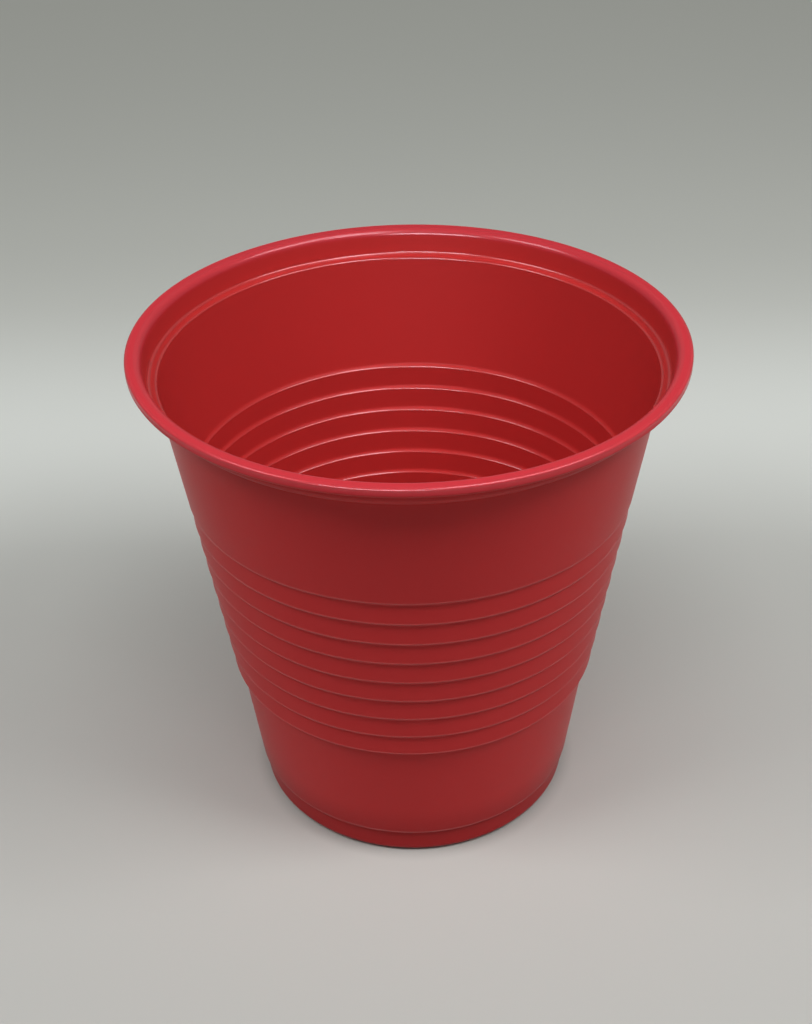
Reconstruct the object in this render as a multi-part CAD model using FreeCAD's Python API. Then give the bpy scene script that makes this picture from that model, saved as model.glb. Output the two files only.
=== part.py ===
import FreeCAD, Part

import math
import os

# A party cup, formed in one piece from a thin plastic sheet: a curled lip, a stacking ledge under it, a plain
# tapered wall, nine stepped grip ribs, a plain lower wall, a foot that steps in, and a raised base panel.
# Millimetres, +Z up, the origin on the table under the centre of the cup.

# The whole cup
LIP_DIAMETER = 95.0
HEIGHT = 92.5
WALL = 0.4

# The curled lip: its width and depth as seen from outside, its bends, and the slit left at the end of the curl
LIP_WIDTH = 2.9
LIP_DEPTH = 1.9
LIP_INNER_BEND = 1.1
LIP_OUTER_BEND = 0.8
CURL_BEND = 0.25
CURL_SLIT = 0.4

# The stacking ledge: its inner edge below the top, its width, its rise towards the outside, and its bend
LEDGE_DEPTH = 5.0
LEDGE_WIDTH = 2.1
LEDGE_RISE = 0.2
LEDGE_BEND = 0.8
BAND_LEAN = 0.5

# The wall and its ribs: each rib is a step inwards on the way down, and the last one is the deepest
UPPER_TAPER_DEG = 8.6
RIB_TAPER_DEG = 8.3
RIB_COUNT = 9
RIB_PITCH = 4.6
RIB_STEP = 0.55
RIB_DROP = 0.3
LAST_RIB_HEIGHT = 29.05
LAST_RIB_STEP = 0.95

# The plain wall under the ribs and the foot
LOWER_TAPER_DEG = 7.2
FOOT_HEIGHT = 6.0
FOOT_STEP = 0.35
FOOT_TAPER_DEG = 4.0
FOOT_BEND = 1.1
FOOT_RING_WIDTH = 3.4

# The base panel, held clear of the table by the foot
BASE_LIFT = 3.0
BASE_DRAFT = 0.5


class Corner:
    """One corner of the sheet's outer face, with the radius on the inside of its bend."""

    def __init__(self, radius, height, bend=0.0):
        self.point = FreeCAD.Vector(radius, 0, height)
        self.bend = bend


def fall(height, taper_deg):
    """How far a wall of this taper comes in over this height."""
    return height * math.tan(math.radians(taper_deg))


def base_corners(foot_radius):
    """The base panel's underside and the inner side of the foot ring."""
    ring_radius = foot_radius - FOOT_RING_WIDTH
    return [
        Corner(0, BASE_LIFT),
        Corner(ring_radius - BASE_DRAFT, BASE_LIFT),
        Corner(ring_radius, 0),
    ]


def foot_corners(foot_line_radius):
    """The foot: its bottom edge, and the step where the lower wall stands out over it."""
    band_radius = foot_line_radius - FOOT_STEP
    bottom_radius = band_radius - fall(FOOT_HEIGHT, FOOT_TAPER_DEG)
    return [
        Corner(bottom_radius, 0, FOOT_BEND),
        Corner(band_radius, FOOT_HEIGHT),
        Corner(foot_line_radius, FOOT_HEIGHT),
    ]


def rib_corners(wall_top_radius, wall_top_height):
    """Two corners for each rib, from the lowest up: under the step, and the step's edge."""
    first_height = LAST_RIB_HEIGHT + (RIB_COUNT - 1) * RIB_PITCH
    first_radius = wall_top_radius - fall(wall_top_height - first_height, UPPER_TAPER_DEG)
    corners = []
    for number in range(RIB_COUNT):
        height = LAST_RIB_HEIGHT + number * RIB_PITCH
        edge_radius = first_radius - fall(first_height - height, RIB_TAPER_DEG)
        step = LAST_RIB_STEP if number == 0 else RIB_STEP
        corners.append(Corner(edge_radius - step, height - RIB_DROP))
        corners.append(Corner(edge_radius, height))
    return corners


def ledge_corners(wall_top_radius, wall_top_height, band_radius):
    """The stacking ledge, from the top of the wall out to the foot of the upper band."""
    return [
        Corner(wall_top_radius, wall_top_height),
        Corner(band_radius - BAND_LEAN, wall_top_height + LEDGE_RISE, LEDGE_BEND),
    ]


def lip_corners(band_radius):
    """The inside of the curl: up the band, out, down, and back towards the wall."""
    curl_radius = LIP_DIAMETER / 2 - WALL
    curl_top = HEIGHT - WALL
    curl_bottom = HEIGHT - LIP_DEPTH + WALL
    return [
        Corner(band_radius, curl_top, LIP_INNER_BEND),
        Corner(curl_radius, curl_top, LIP_OUTER_BEND),
        Corner(curl_radius, curl_bottom, CURL_BEND),
        Corner(band_radius + CURL_SLIT, curl_bottom),
    ]


def outer_corners():
    """Every corner of the sheet's outer face, from the middle of the base to the end of the curl."""
    band_radius = LIP_DIAMETER / 2 - LIP_WIDTH + WALL
    wall_top_height = HEIGHT - LEDGE_DEPTH - WALL
    wall_top_radius = band_radius - LEDGE_WIDTH
    ribs = rib_corners(wall_top_radius, wall_top_height)
    lower_wall_height = ribs[0].point.z - FOOT_HEIGHT
    foot_line_radius = ribs[0].point.x - fall(lower_wall_height, LOWER_TAPER_DEG)
    foot = foot_corners(foot_line_radius)
    base = base_corners(foot[0].point.x)
    ledge = ledge_corners(wall_top_radius, wall_top_height, band_radius)
    return base + foot + ribs + ledge + lip_corners(band_radius)


def left_normal(start, end):
    """The unit normal on the sheet's inner side of a run from start to end."""
    along = (end - start).normalize()
    return FreeCAD.Vector(-along.z, 0, along.x)


def offset_point(before, corner, after):
    """The corner moved through the sheet's thickness, square to both of its runs."""
    if before is None:
        return corner + left_normal(corner, after) * WALL
    if after is None:
        return corner + left_normal(before, corner) * WALL
    first = left_normal(before, corner)
    second = left_normal(corner, after)
    return corner + (first + second) * (WALL / (1 + first.dot(second)))


def turns_left(before, corner, after):
    """Whether the sheet bends towards its inner side at this corner."""
    return left_normal(before, corner).dot(after - corner) > 0


def inner_face(corners):
    """The sheet's inner face, and the radius of each bend on both faces."""
    points = [corner.point for corner in corners]
    befores = [None] + points[:-1]
    afters = points[1:] + [None]
    inner_points = [offset_point(*three) for three in zip(befores, points, afters)]
    outer_radii = []
    inner_radii = []
    for before, corner, after in zip(befores, corners, afters):
        bend = corner.bend
        left = bend > 0 and turns_left(before, corner.point, after)
        outer_radii.append(bend + WALL if left else bend)
        inner_radii.append(bend + WALL if bend > 0 and not left else bend)
    return inner_points, outer_radii, inner_radii


def rounded_edges(points, radii):
    """Straight runs through the points, joined by a tangent arc wherever a radius is given."""
    edges = []
    start = points[0]
    for before, corner, after, radius in zip(points, points[1:], points[2:], radii[1:]):
        if radius <= 0:
            edges.append(Part.makeLine(start, corner))
            start = corner
            continue
        back = (before - corner).normalize()
        ahead = (after - corner).normalize()
        half_angle = back.getAngle(ahead) / 2
        reach = radius / math.tan(half_angle)
        bisector = (back + ahead).normalize()
        middle = corner + bisector * (radius / math.sin(half_angle) - radius)
        arc_start = corner + back * reach
        arc_end = corner + ahead * reach
        edges.append(Part.makeLine(start, arc_start))
        edges.append(Part.Arc(arc_start, middle, arc_end).toShape())
        start = arc_end
    edges.append(Part.makeLine(start, points[-1]))
    return edges


def make_cup():
    """The cup: the sheet's section, turned once round the Z axis."""
    corners = outer_corners()
    outer_points = [corner.point for corner in corners]
    inner_points, outer_radii, inner_radii = inner_face(corners)
    outer = rounded_edges(outer_points, outer_radii)
    inner = rounded_edges(inner_points, inner_radii)
    curl_end = Part.makeLine(outer_points[-1], inner_points[-1])
    axis_side = Part.makeLine(inner_points[0], outer_points[0])
    section = Part.Wire(Part.__sortEdges__(outer + [curl_end] + inner + [axis_side]))
    cup = Part.Face(section).revolve(FreeCAD.Vector(0, 0, 0), FreeCAD.Vector(0, 0, 1), 360)
    return cup.Solids[0] if cup.Solids else Part.Solid(cup.Shells[0])


def main():
    """Build the cup and write it out."""
    os.makedirs("parts", exist_ok=True)
    cup = make_cup()
    print("cup volume %.1f mm3" % cup.Volume)
    cup.exportStep("parts/cup.step")


main()
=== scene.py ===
"""Looks for a plastic party cup: the formed sheet with its soft edges, its satin red plastic, a pale table,
and the light that falls on it. The cup's own sizes are millimetres, and those of the scene are metres."""

from __future__ import annotations

import logging
import math
from dataclasses import dataclass
from enum import Enum

import bmesh
import bpy
from mathutils import Matrix, Vector

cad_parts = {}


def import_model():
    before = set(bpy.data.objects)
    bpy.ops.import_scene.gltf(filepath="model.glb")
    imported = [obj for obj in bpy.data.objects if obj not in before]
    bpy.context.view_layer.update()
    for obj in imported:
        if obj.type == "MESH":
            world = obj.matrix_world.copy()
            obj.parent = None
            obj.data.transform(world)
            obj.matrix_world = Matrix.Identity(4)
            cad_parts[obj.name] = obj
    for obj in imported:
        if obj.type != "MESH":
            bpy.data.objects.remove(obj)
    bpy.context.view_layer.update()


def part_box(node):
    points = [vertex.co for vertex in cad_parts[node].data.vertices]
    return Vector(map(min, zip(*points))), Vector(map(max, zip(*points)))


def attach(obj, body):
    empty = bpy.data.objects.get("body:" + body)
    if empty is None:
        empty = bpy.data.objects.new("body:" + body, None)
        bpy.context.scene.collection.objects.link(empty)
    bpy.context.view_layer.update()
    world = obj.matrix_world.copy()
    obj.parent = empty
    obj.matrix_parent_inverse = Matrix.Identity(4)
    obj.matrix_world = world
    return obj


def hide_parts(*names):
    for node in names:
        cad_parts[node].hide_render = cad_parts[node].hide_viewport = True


log = logging.getLogger("party_cup")

Colour = tuple[float, float, float, float]
Place = tuple[float, float, float]

MM = 0.001
BLACK = (0.0, 0.0, 0.0, 1.0)

# The cup's vertex attributes: how polished the sheet is there, and whether it is the inner face
POLISH = "polish"
INNER = "inner"

# The Mix node's sockets for colours, by number, because its other kinds share their names
MIX_FIRST = 6
MIX_SECOND = 7
MIX_RESULT = 2


class Face(Enum):
    """The two faces of the cup's sheet."""

    OUTER = "outer"
    INNER = "inner"


class Reach(Enum):
    """What a lamp lights, the colour of things or only their gloss: its diffuse and its glossy switch."""

    COLOUR = (True, False)
    GLOSS = (False, True)


# Shader maths


class Value:
    """A node's output, which can be added, subtracted and multiplied like a number."""

    def __init__(self, nodes: Nodes, socket: bpy.types.NodeSocket) -> None:
        """Wrap one output socket.

        Args:
            nodes: The node tree that the socket belongs to.
            socket: The output socket.
        """
        self.nodes = nodes
        self.socket = socket

    def _maths(self, operation: str, first: float | Value, second: float | Value) -> Value:
        """Add one Math node.

        Args:
            operation: The Math node's operation.
            first: The first value, a number or another Value.
            second: The second value, a number or another Value.

        Returns:
            The result of the operation.
        """
        return self.nodes.add("ShaderNodeMath", {"operation": operation}, {0: first, 1: second})

    def __add__(self, other: float | Value) -> Value:
        """This value plus another."""
        return self._maths("ADD", self, other)

    def __radd__(self, other: float | Value) -> Value:
        """Another value plus this one."""
        return self._maths("ADD", other, self)

    def __sub__(self, other: float | Value) -> Value:
        """This value less another."""
        return self._maths("SUBTRACT", self, other)

    def __rsub__(self, other: float | Value) -> Value:
        """Another value less this one."""
        return self._maths("SUBTRACT", other, self)

    def __mul__(self, other: float | Value) -> Value:
        """This value times another."""
        return self._maths("MULTIPLY", self, other)

    def __rmul__(self, other: float | Value) -> Value:
        """Another value times this one."""
        return self._maths("MULTIPLY", other, self)


class Nodes:
    """A material's node tree, with one way to add any node."""

    def __init__(self, name: str, tree: bpy.types.NodeTree | None = None) -> None:
        """Start an empty material, or empty the tree that is given.

        Args:
            name: The material's name.
            tree: A node tree to use in place of a new material's.
        """
        if tree is None:
            self.material = bpy.data.materials.new(name)
            self.material.use_nodes = True
            tree = self.material.node_tree
        self.tree = tree
        self.tree.nodes.clear()

    def add(self, kind: str, settings: dict, sockets: dict, output: int | str = 0) -> Value:
        """Add a node: its settings first, and then its sockets.

        Args:
            kind: The node's type.
            settings: Attributes of the node, and for a ramp its stops as (place, colour) pairs.
            sockets: What each input gets, by name or number: a number, a colour or a Value.
            output: The output that is returned, by name or number.

        Returns:
            The chosen output.
        """
        node = self.tree.nodes.new(kind)
        for name, setting in settings.items():
            if name == "stops":
                self._set_stops(node.color_ramp, setting)
            elif name == "interpolation":
                node.color_ramp.interpolation = setting
            else:
                setattr(node, name, setting)
        for name, given in sockets.items():
            if isinstance(given, Value):
                self.tree.links.new(given.socket, node.inputs[name])
            else:
                node.inputs[name].default_value = given
        return Value(self, node.outputs[output] if len(node.outputs) else None)

    @staticmethod
    def _set_stops(ramp: bpy.types.ColorRamp, stops: tuple[tuple[float, Colour], ...]) -> None:
        """Give a ramp its stops.

        Args:
            ramp: The ramp.
            stops: The place and the colour of each stop, in order.
        """
        while len(ramp.elements) < len(stops):
            ramp.elements.new(1.0)
        for element, (place, colour) in zip(ramp.elements, stops):
            element.position = place
            element.color = colour

    def mix(self, share: Value, first: Colour | Value, second: Colour | Value) -> Value:
        """Mix two colours.

        Args:
            share: The second colour's share, from 0 to 1.
            first: The first colour, or a Value.
            second: The second colour, or a Value.

        Returns:
            The mixed colour.
        """
        settings = {"data_type": "RGBA", "clamp_factor": True}
        sockets = {"Factor": share, MIX_FIRST: first, MIX_SECOND: second}
        return self.add("ShaderNodeMix", settings, sockets, MIX_RESULT)

    def noise(self, place: Value, scale: float, detail: float, roughness: float = 0.5) -> Value:
        """Add a noise pattern.

        Args:
            place: The coordinates that it follows.
            scale: Its scale, in features per metre.
            detail: Its octaves.
            roughness: The strength of the finer octaves.

        Returns:
            The pattern, around 0.5.
        """
        sockets = {"Vector": place, "Scale": scale, "Detail": detail, "Roughness": roughness}
        return self.add("ShaderNodeTexNoise", {}, sockets)

    def fade(self, given: Value, start: float, end: float) -> Value:
        """Fade smoothly from 0 at one value to 1 at another.

        Args:
            given: The value that decides.
            start: Where the result is 0.
            end: Where the result is 1.

        Returns:
            The result, from 0 to 1.
        """
        settings = {"interpolation_type": "SMOOTHSTEP"}
        sockets = {"Value": given, "From Min": start, "From Max": end, "To Min": 0.0, "To Max": 1.0}
        return self.add("ShaderNodeMapRange", settings, sockets)

    def place(self) -> Value:
        """The object coordinates of the point that is shaded."""
        return self.add("ShaderNodeTexCoord", {}, {}, "Object")

    def finish(self, shader: Value) -> bpy.types.Material:
        """Join the shader to the material's output.

        Args:
            shader: The surface shader.

        Returns:
            The finished material.
        """
        self.add("ShaderNodeOutputMaterial", {}, {"Surface": shader})
        return self.material


# Finishes


@dataclass(frozen=True)
class SatinPlastic:
    """Red polystyrene sheet: satin walls, and a polish where forming has stretched the sheet round a bend.
    Its colour holds painted light: a paler, pinker lip for the lip's sheen, a darker foot for the shade
    near the table, and an inner face coloured for the light inside the cup.
    """

    lip_bottom: float
    colour: Colour = (0.585, 0.0330, 0.0345, 1.0)
    deeper_colour: Colour = (0.562, 0.0305, 0.0320, 1.0)
    # painted light: the inner face's own colour, tuned to how the inside of the cup is lit, a little greener
    # than the outer wall
    inner_painted_light_colour: Colour = (0.582, 0.0350, 0.0345, 1.0)
    # painted sheen: the lip is paler and pinker than the wall, standing in for the broad sheen on it
    lip_painted_sheen_colour: Colour = (0.640, 0.0380, 0.0520, 1.0)
    lip_sheen_fade: float = 1.0
    # painted shade: the foot and the lowest wall are darker, for the shade near the table
    foot_painted_shade_colour: Colour = (0.442, 0.0218, 0.0234, 1.0)
    foot_shade_top: float = 13.0
    foot_shade_full: float = 5.0
    roughness: float = 0.34
    roughness_change: float = 0.10
    ior: float = 1.50
    specular: float = 0.09
    polish_roughness: float = 0.17
    polish_ior: float = 1.80
    cloud_scale: float = 38.0
    peel_scale: float = 900.0
    grain_scale: float = 5200.0
    grain_roughness: float = 0.6
    peel_share: float = 0.6
    relief_strength: float = 0.10
    relief_depth: float = 0.00004

    def make(self) -> bpy.types.Material:
        """Build the material.

        Returns:
            The finished material.
        """
        nodes = Nodes("cup_plastic_satin_red")
        place = nodes.place()
        clouds = nodes.noise(place, self.cloud_scale, detail=3.0)
        peel = nodes.noise(place, self.peel_scale, detail=2.0)
        grain = nodes.noise(place, self.grain_scale, detail=2.0, roughness=self.grain_roughness)
        wall_colour = nodes.mix(clouds, self.deeper_colour, self.colour)
        height = nodes.add("ShaderNodeSeparateXYZ", {}, {"Vector": place}, "Z") * (1.0 / MM)
        # painted sheen: the lip's paler colour fades in just above the lip's bottom
        painted_lip_sheen = nodes.fade(height, self.lip_bottom, self.lip_bottom + self.lip_sheen_fade)
        # painted shade: the colour darkens towards the bottom of the cup
        painted_foot_shade = nodes.fade(height, self.foot_shade_top, self.foot_shade_full)
        colour = nodes.mix(painted_foot_shade, wall_colour, self.foot_painted_shade_colour)
        # painted light: the inner face takes its own colour, tuned to the light inside the cup
        inner = nodes.add("ShaderNodeAttribute", {"attribute_name": INNER}, {}, "Fac")
        colour = nodes.mix(inner, colour, self.inner_painted_light_colour)
        colour = nodes.mix(painted_lip_sheen, colour, self.lip_painted_sheen_colour)
        polish = nodes.add("ShaderNodeAttribute", {"attribute_name": POLISH}, {}, "Fac")
        roughness = self.roughness + self.roughness_change * (grain - 0.5)
        relief = peel * self.peel_share + grain * (1.0 - self.peel_share)
        sockets = {"Strength": self.relief_strength, "Distance": self.relief_depth, "Height": relief}
        normal = nodes.add("ShaderNodeBump", {}, sockets)
        shader = nodes.add(
            "ShaderNodeBsdfPrincipled",
            {},
            {
                "Base Color": colour,
                "Roughness": roughness,
                "IOR": self.ior,
                "Specular IOR Level": self.specular,
                "Coat Weight": polish,
                "Coat Roughness": self.polish_roughness,
                "Coat IOR": self.polish_ior,
                "Normal": normal,
            },
        )
        return nodes.finish(shader)


@dataclass(frozen=True)
class TableTop:
    """A pale satin table with painted light: its grey painted darker towards the front, a painted contact
    shadow round the cup's foot, and behind the cup a painted sheen, which only the eye and gloss see.
    """

    near: float = -0.10
    far: float = 0.60
    # painted contact shadow: a dark ring on the table round the cup's foot
    contact_shadow_radius: float = 0.0290
    contact_shadow_fade: float = 0.0035
    painted_contact_shadow: float = 0.22
    fibre_scale: float = 700.0
    fibre_strength: float = 0.05
    fibre_depth: float = 0.0001
    roughness: float = 0.7
    specular: float = 0.1
    # painted shade: the grey is darker towards the front edge of the table
    greys_with_painted_shade: tuple[tuple[float, Colour], ...] = (
        (0.05, (0.546, 0.552, 0.525, 1.0)),
        (0.15, (0.614, 0.619, 0.588, 1.0)),
        (0.25, (0.614, 0.624, 0.588, 1.0)),
    )
    # painted sheen: an emitted glow in the table's surface behind the cup
    painted_glow_stops: tuple[tuple[float, Colour], ...] = (
        (0.12, (0.010, 0.010, 0.009, 1.0)),
        (0.20, (0.055, 0.057, 0.053, 1.0)),
        (0.25, (0.110, 0.116, 0.110, 1.0)),
        (0.315, (0.268, 0.285, 0.276, 1.0)),
        (0.37, (0.238, 0.252, 0.240, 1.0)),
        (0.43, (0.160, 0.166, 0.152, 1.0)),
        (0.52, (0.142, 0.148, 0.134, 1.0)),
        (0.95, (0.198, 0.204, 0.184, 1.0)),
    )

    def make(self) -> bpy.types.Material:
        """Build the material.

        Returns:
            The finished material.
        """
        nodes = Nodes("table_satin_grey")
        place = nodes.place()
        depth = nodes.add("ShaderNodeSeparateXYZ", {}, {"Vector": place}, "Y")
        ends = {"From Min": self.near, "From Max": self.far, "To Min": 0.0, "To Max": 1.0}
        along = nodes.add("ShaderNodeMapRange", {}, {"Value": depth, **ends})
        # painted shade: the grey darkens towards the front
        grey_with_painted_shade = nodes.add("ShaderNodeValToRGB", {"stops": self.greys_with_painted_shade}, {"Fac": along})
        settings = {"operation": "LENGTH"}
        from_middle = nodes.add("ShaderNodeVectorMath", settings, {"Vector": place}, "Value")
        # painted contact shadow: the grey darkens towards black within the ring where the foot stands
        contact_shadow_mask = nodes.fade(from_middle, self.contact_shadow_radius + self.contact_shadow_fade, self.contact_shadow_radius)
        grey_with_painted_shade = nodes.mix(contact_shadow_mask * self.painted_contact_shadow, grey_with_painted_shade, BLACK)
        # painted sheen: an emitted glow that only the eye and gloss see
        settings = {"interpolation": "B_SPLINE", "stops": self.painted_glow_stops}
        painted_glow = nodes.add("ShaderNodeValToRGB", settings, {"Fac": along})
        to_eye = nodes.add("ShaderNodeLightPath", {}, {}, "Is Camera Ray")
        to_gloss = nodes.add("ShaderNodeLightPath", {}, {}, "Is Glossy Ray")
        to_glass = nodes.add("ShaderNodeLightPath", {}, {}, "Is Transmission Ray")
        painted_glow_seen = nodes.mix(to_eye + to_gloss + to_glass, BLACK, painted_glow)
        fibre = nodes.noise(place, self.fibre_scale, detail=4.0)
        sockets = {"Strength": self.fibre_strength, "Distance": self.fibre_depth, "Height": fibre}
        normal = nodes.add("ShaderNodeBump", {}, sockets)
        shader = nodes.add(
            "ShaderNodeBsdfPrincipled",
            {},
            {
                "Base Color": grey_with_painted_shade,
                "Roughness": self.roughness,
                "Specular IOR Level": self.specular,
                "Emission Color": painted_glow_seen,
                "Emission Strength": 1.0,
                "Normal": normal,
            },
        )
        return nodes.finish(shader)


# The cup


@dataclass(frozen=True)
class Corner:
    """One corner of the sheet's section, in millimetres, with each face's bend radius and its polish there.

    The inner face's corner may also stand higher than the sheet's thickness puts it, or lower where its rise
    is below zero.
    """

    radius: float
    height: float
    outer_bend: float = 0.0
    inner_bend: float = 0.0
    outer_polish: float = 0.0
    inner_polish: float = 0.0
    inner_rise: float = 0.0

    @property
    def point(self) -> Vector:
        """The corner on the outer face, in the plane y = 0."""
        return Vector((self.radius, 0.0, self.height))


@dataclass(frozen=True)
class Stop:
    """One point of a face's run: its place, its bend radius and its polish."""

    point: Vector
    bend: float
    polish: float


@dataclass
class FormedCup:
    """The whole cup: one sheet, formed to a curled lip, a stacking ledge, a ribbed wall, a foot and a base."""

    lip_radius: float
    height: float
    wall: float = 0.4
    lip_width: float = 2.9
    lip_depth: float = 1.9
    lip_fall: float = 0.30
    lip_slim: float = 0.25
    rim_fall: float = 0.12
    rim_side: float = 0.65
    lip_polish: float = 0.45
    curl_slit: float = 0.4
    ledge_depth: float = 5.0
    ledge_width: float = 2.1
    ledge_rise: float = 0.2
    band_lean: float = 0.5
    upper_taper_deg: float = 8.6
    rib_taper_deg: float = 8.3
    rib_count: int = 9
    rib_pitch: float = 4.6
    rib_step: float = 0.55
    rib_drop: float = 0.3
    edge_sink: float = 0.13
    rib_swell: float = -0.03
    last_rib_height: float = 28.93
    last_rib_step: float = 0.95
    lower_taper_deg: float = 7.2
    foot_height: float = 5.65
    foot_step: float = 0.65
    foot_taper_deg: float = 2.2
    foot_ring_width: float = 3.4
    base_lift: float = 3.0
    base_draft: float = 0.5
    turns: int = 180
    bend_segments: int = 5
    bend_guard: float = 0.05
    polish_fade: float = 0.2
    merge_mm: float = 1e-4
    thinnest_mm: float = 1e-5

    @property
    def first_rib_height(self) -> float:
        """The height of the highest rib's edge."""
        return self.last_rib_height + (self.rib_count - 1) * self.rib_pitch

    @staticmethod
    def fall(height: float, taper_deg: float) -> float:
        """How far a wall of this taper comes in over this height.

        Args:
            height: The height of the wall.
            taper_deg: Its lean, in degrees.

        Returns:
            The distance inwards.
        """
        return height * math.tan(math.radians(taper_deg))

    def foot_and_base(self, foot_line: float) -> list[Corner]:
        """The base panel, the foot ring and the step under the lower wall.

        Args:
            foot_line: The radius of the lower wall at the top of the foot.

        Returns:
            The corners from the middle of the base outwards and up.
        """
        band = foot_line - self.foot_step
        bottom = band - self.fall(self.foot_height, self.foot_taper_deg)
        ring = bottom - self.foot_ring_width
        return [
            Corner(0.0, self.base_lift),
            Corner(ring - self.base_draft, self.base_lift, outer_bend=0.5, inner_bend=0.5),
            Corner(ring, 0.0, outer_bend=0.4, inner_bend=0.6),
            Corner(bottom, 0.0, outer_bend=1.5, inner_bend=1.1),
            Corner(band, self.foot_height, outer_bend=0.15, inner_bend=0.2),
            Corner(foot_line, self.foot_height, outer_bend=0.2, inner_bend=0.1, outer_polish=0.7),
        ]

    def ribs(self, wall_top_radius: float, wall_top_height: float) -> list[Corner]:
        """Two corners for each rib: under its step, and at its edge.

        Args:
            wall_top_radius: The radius at the top of the tapered wall.
            wall_top_height: The height there.

        Returns:
            The corners, from the lowest rib up.
        """
        first_height = self.first_rib_height
        first_radius = wall_top_radius - self.fall(wall_top_height - first_height, self.upper_taper_deg)
        corners = []
        for number in range(self.rib_count):
            height = self.last_rib_height + number * self.rib_pitch
            edge = first_radius - self.fall(first_height - height, self.rib_taper_deg)
            step = self.last_rib_step if number == 0 else self.rib_step
            under = Corner(
                edge - step,
                height - self.rib_drop,
                outer_bend=0.95,
                inner_bend=0.30,
                inner_polish=1.0,
                inner_rise=-self.edge_sink,
            )
            out = Corner(
                edge,
                height,
                outer_bend=0.12,
                inner_bend=0.70,
                outer_polish=0.65,
                inner_rise=self.rib_swell,
            )
            corners.extend((under, out))
        return corners

    def ledge_and_lip(self, wall_top_radius: float, wall_top_height: float, band: float) -> list[Corner]:
        """The stacking ledge, the upper band and the curled lip.

        Args:
            wall_top_radius: The radius at the top of the tapered wall.
            wall_top_height: The height there.
            band: The radius of the upper band's outer face.

        Returns:
            The corners, from the ledge's inner edge to the end of the curl.
        """
        curl = self.lip_radius - self.wall
        top = self.height - self.wall
        bottom = self.height - self.lip_depth + self.wall
        return [
            Corner(wall_top_radius, wall_top_height, outer_bend=0.2, inner_bend=0.3, inner_polish=1.0),
            Corner(
                band - self.band_lean,
                wall_top_height + self.ledge_rise,
                outer_bend=1.8,
                inner_bend=0.45,
                inner_polish=1.0,
            ),
            Corner(
                band + self.lip_slim,
                top,
                outer_bend=1.1,
                inner_bend=1.2,
                inner_polish=self.lip_polish,
                inner_rise=-self.lip_fall,
            ),
            Corner(
                curl,
                top,
                outer_bend=0.4,
                inner_bend=0.4,
                inner_polish=self.lip_polish,
                inner_rise=-self.rim_fall,
            ),
            Corner(curl, top - self.rim_side),
            Corner(curl, bottom, outer_bend=0.25, inner_bend=0.65),
            Corner(band + self.curl_slit, bottom),
        ]

    def corners(self) -> list[Corner]:
        """Every corner of the sheet's section, from the middle of the base to the end of the curl."""
        band = self.lip_radius - self.lip_width + self.wall
        wall_top_height = self.height - self.ledge_depth - self.wall
        wall_top_radius = band - self.ledge_width
        ribs = self.ribs(wall_top_radius, wall_top_height)
        foot_line = ribs[0].radius - self.fall(ribs[0].height - self.foot_height, self.lower_taper_deg)
        upper = self.ledge_and_lip(wall_top_radius, wall_top_height, band)
        return self.foot_and_base(foot_line) + ribs + upper

    def moved_in(self, before: Vector | None, corner: Vector, after: Vector | None) -> Vector:
        """A corner moved through the sheet's thickness, square to both of its runs.

        Args:
            before: The corner before it, if any.
            corner: The corner on the outer face.
            after: The corner after it, if any.

        Returns:
            The corner on the inner face.
        """
        sides = []
        for start, end in ((before, corner), (corner, after)):
            if start is not None and end is not None:
                along = (end - start).normalized()
                sides.append(Vector((-along.z, 0.0, along.x)))
        if len(sides) == 1:
            return corner + sides[0] * self.wall
        return corner + (sides[0] + sides[1]) * (self.wall / (1.0 + sides[0].dot(sides[1])))

    def face_run(self, face: Face) -> list[Stop]:
        """The corners of one face.

        Args:
            face: The face of the sheet.

        Returns:
            Each corner's place, bend radius and polish on that face.
        """
        corners = self.corners()
        points = [corner.point for corner in corners]
        if face is Face.OUTER:
            return [Stop(corner.point, corner.outer_bend, corner.outer_polish) for corner in corners]
        befores = [None] + points[:-1]
        afters = points[1:] + [None]
        stops = []
        for corner, three in zip(corners, zip(befores, points, afters)):
            point = self.moved_in(*three) + Vector((0.0, 0.0, corner.inner_rise))
            stops.append(Stop(point, corner.inner_bend, corner.inner_polish))
        return stops

    @staticmethod
    def reach(before: Vector, corner: Vector, after: Vector, bend: float) -> float:
        """How far from its corner a bend begins.

        Args:
            before: The corner before it.
            corner: The corner.
            after: The corner after it.
            bend: The bend's radius.

        Returns:
            The distance along each run.
        """
        half = (before - corner).angle(after - corner) / 2.0
        return bend / math.tan(half)

    def polish_places(self, before: Stop, start: float, after: Stop, end: float) -> list[tuple[float, float]]:
        """Where the straight part of a run gets its points, so that each bend's polish fades out beside it.

        Args:
            before: The stop at the run's start.
            start: How far along the run its bend ends.
            after: The stop at the run's end.
            end: How far along the run that stop's bend begins.

        Returns:
            The distance along the run and the polish of each point.
        """
        ends = [(start, before.polish), (end, after.polish)]
        if start + 3 * self.polish_fade < end:
            return [ends[0], (start + self.polish_fade, 0.0), (end - self.polish_fade, 0.0), ends[1]]
        return ends if start + self.bend_guard < end else []

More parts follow.
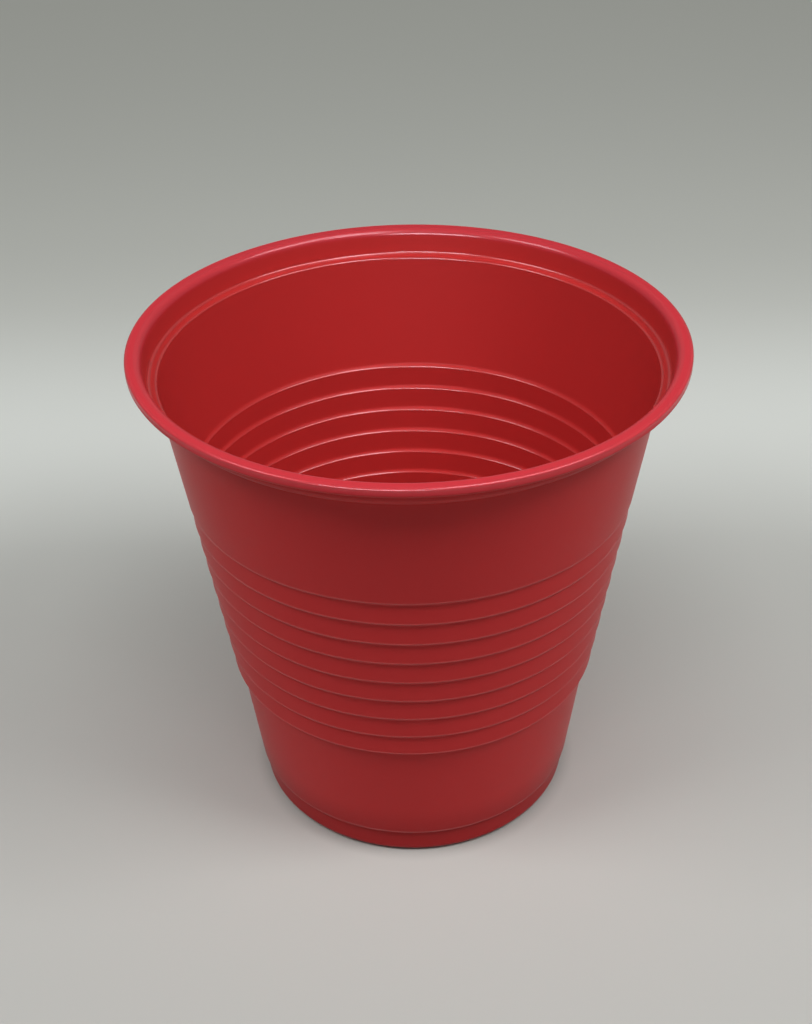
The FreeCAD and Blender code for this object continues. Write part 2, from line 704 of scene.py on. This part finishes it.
    def section(self, shape: bmesh.types.BMesh) -> None:
        """Draw the sheet's section: one open run from the axis out along one face and back along the other.

        Args:
            shape: The mesh that takes the section.
        """
        polish = shape.verts.layers.float.new(POLISH)
        inner = shape.verts.layers.float.new(INNER)
        outer_run = self.face_run(Face.OUTER)
        run = outer_run + list(reversed(self.face_run(Face.INNER)))
        reaches = [0.0] * len(run)
        for index in range(1, len(run) - 1):
            if run[index].bend > 0.0:
                three = (stop.point for stop in run[index - 1 : index + 2])
                reaches[index] = self.reach(*three, run[index].bend)
        last = shape.verts.new(run[0].point * MM)
        bends = []
        for index in range(1, len(run)):
            before, after = run[index - 1], run[index]
            along = (after.point - before.point).normalized()
            length = (after.point - before.point).length
            first_end = reaches[index - 1] + self.bend_guard
            next_start = length - reaches[index] - self.bend_guard
            places = self.polish_places(before, first_end, after, next_start)
            for place, shine in places + [(length, after.polish)]:
                vert = shape.verts.new((before.point + along * place) * MM)
                vert[polish] = shine
                vert[inner] = float(index >= len(outer_run))
                shape.edges.new((last, vert))
                last = vert
            if reaches[index] > 0.0:
                bends.append((last, reaches[index]))
        for vert, reach in bends:
            bmesh.ops.bevel(
                shape,
                geom=[vert],
                offset=reach * MM,
                offset_type="OFFSET",
                segments=self.bend_segments,
                profile=0.5,
                affect="VERTICES",
                clamp_overlap=False,
                material=-1,
            )

    def make(self, finish: bpy.types.Material) -> bpy.types.Object:
        """Turn the section once round the axis.

        Args:
            finish: The material of the sheet.

        Returns:
            The finished piece.
        """
        shape = bmesh.new()
        self.section(shape)
        bmesh.ops.spin(
            shape,
            geom=shape.verts[:] + shape.edges[:],
            cent=(0.0, 0.0, 0.0),
            axis=(0.0, 0.0, 1.0),
            angle=math.tau,
            steps=self.turns,
            use_merge=True,
            use_duplicate=False,
        )
        bmesh.ops.remove_doubles(shape, verts=shape.verts[:], dist=self.merge_mm * MM)
        bmesh.ops.dissolve_degenerate(shape, edges=shape.edges[:], dist=self.thinnest_mm * MM)
        bmesh.ops.recalc_face_normals(shape, faces=shape.faces[:])
        for face in shape.faces:
            face.smooth = True
        mesh = bpy.data.meshes.new("cup_sheet")
        shape.to_mesh(mesh)
        shape.free()
        mesh.materials.append(finish)
        piece = bpy.data.objects.new("cup_sheet", mesh)
        bpy.context.scene.collection.objects.link(piece)
        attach(piece, "root")
        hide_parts("cup")
        log.info("cup_sheet: %d faces", len(mesh.polygons))
        return piece


# The table, the light and the camera


@dataclass
class Table:
    """The pale table that the cup stands on."""

    size: float = 6.0

    def make(self, finish: bpy.types.Material) -> bpy.types.Object:
        """Lay the table's top at the height of the cup's foot.

        Args:
            finish: Its material.

        Returns:
            The table's top.
        """
        shape = bmesh.new()
        bmesh.ops.create_grid(shape, x_segments=8, y_segments=8, size=self.size / 2)
        mesh = bpy.data.meshes.new("table_top")
        shape.to_mesh(mesh)
        shape.free()
        mesh.materials.append(finish)
        table = bpy.data.objects.new("table_top", mesh)
        bpy.context.scene.collection.objects.link(table)
        log.info("table_top: %.1f m square", self.size)
        return table


@dataclass(frozen=True)
class SoftLamp:
    """A soft rectangular lamp, which faces a point of the scene."""

    name: str
    place: Place
    aim: Place
    width: float
    depth: float
    radiance: float
    reach: Reach
    colour: Place = (1.0, 1.0, 1.0)

    def make(self) -> bpy.types.Object:
        """Hang the lamp.

        Returns:
            The lamp.
        """
        data = bpy.data.lights.new(self.name, "AREA")
        data.shape = "RECTANGLE"
        data.size = self.width
        data.size_y = self.depth
        data.energy = self.radiance * math.pi * self.width * self.depth
        data.color = self.colour
        lamp = bpy.data.objects.new(self.name, data)
        lamp.location = self.place
        lamp.rotation_euler = (Vector(self.place) - Vector(self.aim)).to_track_quat("Z", "Y").to_euler()
        lamp.visible_diffuse, lamp.visible_glossy = self.reach.value
        bpy.context.scene.collection.objects.link(lamp)
        return lamp


@dataclass(frozen=True)
class Room:
    """The room's even light, and the paler room that gloss reflects."""

    colour: Colour = (1.0, 1.0, 1.0, 1.0)
    light: float = 0.04
    reflected: float = 0.20

    def make(self) -> bpy.types.World:
        """Set the world's light.

        Returns:
            The world.
        """
        world = bpy.data.worlds.new("room")
        world.use_nodes = True
        nodes = Nodes("room", world.node_tree)
        to_gloss = nodes.add("ShaderNodeLightPath", {}, {}, "Is Glossy Ray")
        to_glass = nodes.add("ShaderNodeLightPath", {}, {}, "Is Transmission Ray")
        strength = self.light + (to_gloss + to_glass) * (self.reflected - self.light)
        shader = nodes.add("ShaderNodeBackground", {}, {"Color": self.colour, "Strength": strength})
        nodes.add("ShaderNodeOutputWorld", {}, {"Surface": shader})
        bpy.context.scene.world = world
        return world


@dataclass(frozen=True)
class PhotoCamera:
    """The camera, where the photograph was taken from."""

    location: Place = (0.0, -0.22219, 0.20631)
    down_deg: float = 33.98948
    yaw_deg: float = -0.23261
    roll_deg: float = 1.00587
    focal_px: float = 1470.935
    long_side_px: float = 1024.0
    sensor_mm: float = 36.0
    nearest: float = 0.01

    def make(self) -> bpy.types.Object:
        """Place the camera and make it the scene's.

        Returns:
            The camera.
        """
        down, yaw, roll = (math.radians(angle) for angle in (self.down_deg, self.yaw_deg, self.roll_deg))
        ahead = Vector((math.sin(yaw) * math.cos(down), math.cos(yaw) * math.cos(down), -math.sin(down)))
        level = Vector((math.cos(yaw), -math.sin(yaw), 0.0))
        below = ahead.cross(level)
        image_x = level * math.cos(roll) + below * math.sin(roll)
        image_y = level * -math.sin(roll) + below * math.cos(roll)
        data = bpy.data.cameras.new("photo_camera")
        data.sensor_width = self.sensor_mm
        data.lens = self.focal_px * self.sensor_mm / self.long_side_px
        data.clip_start = self.nearest
        camera = bpy.data.objects.new("photo_camera", data)
        turn = Matrix((image_x, -image_y, -ahead)).transposed().to_4x4()
        camera.matrix_world = Matrix.Translation(self.location) @ turn
        bpy.context.scene.collection.objects.link(camera)
        bpy.context.scene.camera = camera
        return camera


# The lamps, in metres: three soft ones overhead give the colours and the shadow, and five give the glints
CUP_MIDDLE = (0.0, 0.0, 0.06)
GLINT = (1.0, 0.95, 1.05)
LAMPS = (
    SoftLamp("overhead_left", (-0.3, -0.15, 0.45), (-0.3, -0.15, 0.0), 0.2, 0.2, 9.1, Reach.COLOUR),
    SoftLamp("overhead_middle", (0.0, -0.18, 0.45), (0.0, -0.18, 0.0), 0.2, 0.2, 4.8, Reach.COLOUR),
    SoftLamp("overhead_right", (0.3, -0.15, 0.45), (0.3, -0.15, 0.0), 0.2, 0.2, 11.9, Reach.COLOUR),
    SoftLamp("left_glint", (-0.3, -0.10, 0.42), CUP_MIDDLE, 0.2, 0.16, 5.4, Reach.GLOSS, GLINT),
    SoftLamp("right_glint", (0.3, -0.10, 0.42), CUP_MIDDLE, 0.2, 0.16, 5.4, Reach.GLOSS, GLINT),
    SoftLamp("high_glint", (0.10, -0.08, 0.42), CUP_MIDDLE, 0.14, 0.12, 5.0, Reach.GLOSS, GLINT),
    SoftLamp("middle_glint", (0.10, -0.18, 0.34), CUP_MIDDLE, 0.12, 0.08, 8.5, Reach.GLOSS, GLINT),
    SoftLamp("low_glint", (-0.06, -0.27, 0.20), CUP_MIDDLE, 0.20, 0.05, 19.0, Reach.GLOSS, GLINT),
)


def main() -> None:
    """Build the cup, the table, the light and the camera."""
    logging.basicConfig(level=logging.INFO, format="%(message)s")
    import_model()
    bpy.context.scene.view_settings.view_transform = "Standard"
    cup_low, cup_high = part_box("cup")
    cup = FormedCup(lip_radius=cup_high.x / MM, height=cup_high.z / MM)
    cup.make(SatinPlastic(cup.height - cup.lip_depth).make())
    Table().make(TableTop().make())
    Room().make()
    for lamp in LAMPS:
        lamp.make()
    PhotoCamera().make()


if __name__ == "__main__":
    main()
